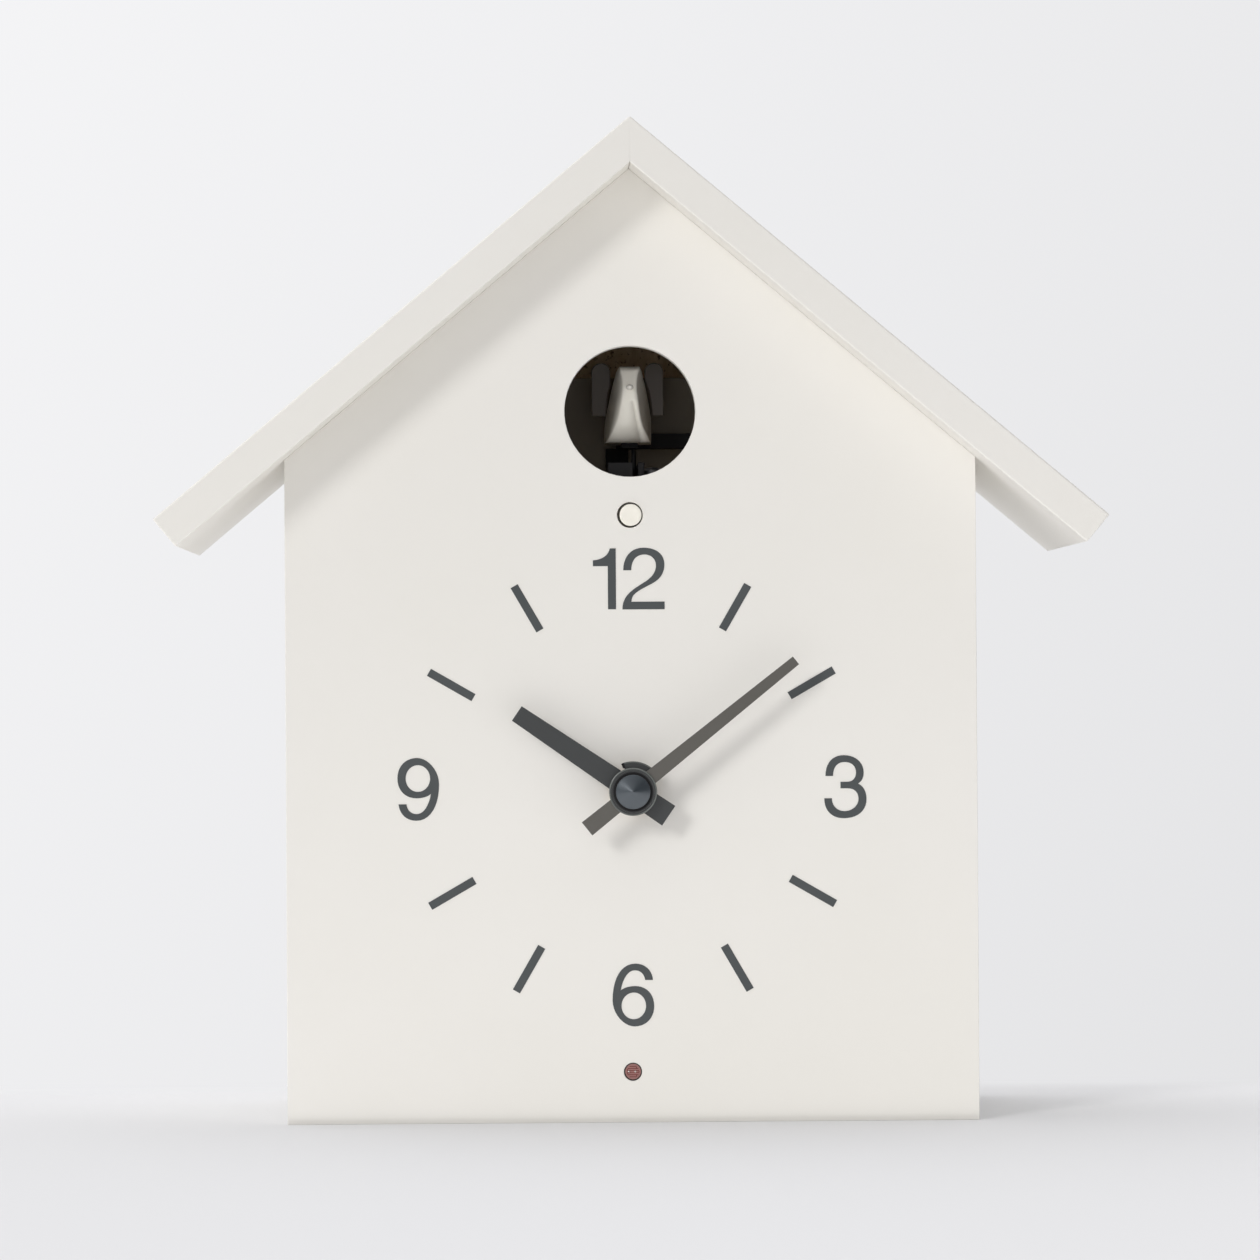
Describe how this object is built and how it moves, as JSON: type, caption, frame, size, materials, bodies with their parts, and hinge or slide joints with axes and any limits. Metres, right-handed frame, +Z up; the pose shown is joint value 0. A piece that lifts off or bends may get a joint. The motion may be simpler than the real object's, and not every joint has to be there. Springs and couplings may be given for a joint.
{
  "type": "cuckoo clock",
  "caption": "House-shaped battery cuckoo clock with a gabled roof, printed dial, two hands, a round window with a sliding bird and a push button.",
  "frame": {"origin": "middle of the footprint, on the surface that the clock stands on", "axes": "+X to the right seen from the front, +Y from the front to the back, +Z up"},
  "size_m": [0.255, 0.105, 0.2695],
  "materials": {
    "white_paint": "satin lacquer over fibreboard",
    "raw_board": "bare fibreboard",
    "plated_steel": "zinc plated",
    "dial_ink": "screen-printed ink",
    "pale_plastic": "fine spark texture",
    "black_plastic": "moulded satin",
    "nut_brass": "turned",
    "rubber": "matt",
    "coil_copper": "enamelled copper wire",
    "stator_iron": "bright steel",
    "magnet": "sintered",
    "circuit_board": "solder mask",
    "board_black": "moulded",
    "hand_black": "charcoal paint",
    "cap_metal": "anodised grey",
    "gear_plastic": "natural acetal",
    "dark_plastic": "moulded matt",
    "bird_white": "painted",
    "beak_cream": "painted",
    "motor_can": "drawn steel",
    "sensor_face": "clear resin over a dark red cell",
    "speaker_paper": "pressed paper",
    "cell_jacket": "shrink sleeve",
    "contact_nickel": "nickel plated",
    "lead_red": "insulated lead"
  },
  "bodies": {
    "case": {"front_panel": "white_paint", "left_wall": "white_paint", "right_wall": "white_paint", "base_board": "white_paint", "roof_left": "white_paint", "roof_right": "white_paint", "back_panel": "white_paint", "back_rails": "white_paint", "corner_blocks": "raw_board", "hanger_batten": "raw_board", "back_screws": "plated_steel", "hanger_plate": "plated_steel", "hanger_screws": "plated_steel", "dial_print": "dial_ink", "door_frame": "pale_plastic", "movement_case": "black_plastic", "movement_cover": "black_plastic", "movement_nut": "nut_brass", "movement_washer": "rubber", "coil": "coil_copper", "stator": "stator_iron", "movement_board": "circuit_board", "cuckoo_shelf": "raw_board", "mechanism_cover": "dark_plastic", "guide_track": "black_plastic", "guide_rod": "stator_iron", "rod_brackets": "black_plastic", "gear_post": "stator_iron", "drive_motor": "motor_can", "button_spring": "stator_iron", "button_switch": "circuit_board", "sensor_cell": "sensor_face", "sensor_sleeve": "rubber", "control_board": "circuit_board", "board_parts": "board_black", "board_standoffs": "pale_plastic", "speaker_frame": "black_plastic", "speaker_cone": "speaker_paper", "battery_tray": "black_plastic", "aa_cells": "cell_jacket", "battery_contacts": "contact_nickel", "wiring": "lead_red"},
    "minute_body": {"minute_hand": "hand_black", "hand_cap": "cap_metal", "minute_arbor": "nut_brass"},
    "hour_body": {"hour_hand": "hand_black", "hour_wheel": "gear_plastic"},
    "motion_body": {"motion_wheel": "gear_plastic"},
    "setting_body": {"setting_shaft": "gear_plastic", "setting_knob": "black_plastic"},
    "rotor_body": {"rotor": "magnet"},
    "bird": {"bird_carriage": "black_plastic", "carriage_arm": "black_plastic", "bird_post": "black_plastic", "bird_body": "bird_white", "bird_wings": "dark_plastic", "bird_beak": "beak_cream"},
    "drive_gear_body": {"drive_gear": "gear_plastic"},
    "pinion_body": {"motor_pinion": "nut_brass"},
    "button": {"button_cap": "bird_white"},
    "door": {"access_door": "pale_plastic"},
    "mode_body": {"mode_slider": "pale_plastic"},
    "volume_body": {"volume_wheel": "dark_plastic"}
  },
  "joints": [
    {"name": "minute_spin", "type": "hinge", "parent": "case", "child": "minute_body", "pos_m": [0, -0.046, 0.0892], "axis": [0, 1, 0], "continuous": true},
    {"name": "hour_spin", "type": "hinge", "parent": "case", "child": "hour_body", "pos_m": [0, -0.043, 0.0892], "axis": [0, 1, 0], "continuous": true},
    {"name": "motion_spin", "type": "hinge", "parent": "case", "child": "motion_body", "pos_m": [0, -0.023, 0.0792], "axis": [0, 1, 0], "continuous": true},
    {"name": "setting_spin", "type": "hinge", "parent": "case", "child": "setting_body", "pos_m": [0, -0.012, 0.0692], "axis": [0, 1, 0], "continuous": true},
    {"name": "rotor_spin", "type": "hinge", "parent": "case", "child": "rotor_body", "pos_m": [0.015, -0.02, 0.1076], "axis": [0, 1, 0], "continuous": true},
    {"name": "bird_slide", "type": "slide", "parent": "case", "child": "bird", "axis": [0, -1, 0], "range_m": [0, 0.026]},
    {"name": "drive_gear_spin", "type": "hinge", "parent": "case", "child": "drive_gear_body", "pos_m": [0.03425, 0.006, 0.183], "axis": [0, 0, 1], "range_deg": [-1, 373.5]},
    {"name": "motor_spin", "type": "hinge", "parent": "case", "child": "pinion_body", "pos_m": [0.04625, 0.006, 0.186], "axis": [0, 0, 1], "range_deg": [-1120, 3]},
    {"name": "button_press", "type": "slide", "parent": "case", "child": "button", "axis": [0, 1, 0], "range_m": [0, 0.0012], "stiffness_N_per_m": 250, "springref_m": -0.003, "deforming": ["button_spring"]},
    {"name": "door_hinge", "type": "hinge", "parent": "case", "child": "door", "pos_m": [0, 0.0506, 0.0142], "axis": [-1, 0, 0], "range_deg": [0, 90]},
    {"name": "mode_slide", "type": "slide", "parent": "case", "child": "mode_body", "axis": [1, 0, 0], "range_m": [0, 0.005]},
    {"name": "volume_turn", "type": "hinge", "parent": "case", "child": "volume_body", "pos_m": [-0.054, 0.005, 0.06], "axis": [0, 1, 0], "range_deg": [0, 270]}
  ],
  "couplings": [
    {"joint": "hour_spin", "follows": "minute_spin", "ratio": 0.083333},
    {"joint": "motion_spin", "follows": "minute_spin", "ratio": -0.33333},
    {"joint": "setting_spin", "follows": "minute_spin", "ratio": 1},
    {"joint": "drive_gear_spin", "follows": "bird_slide", "rad_per_m": 250},
    {"joint": "motor_spin", "follows": "bird_slide", "rad_per_m": -750}
  ]
}
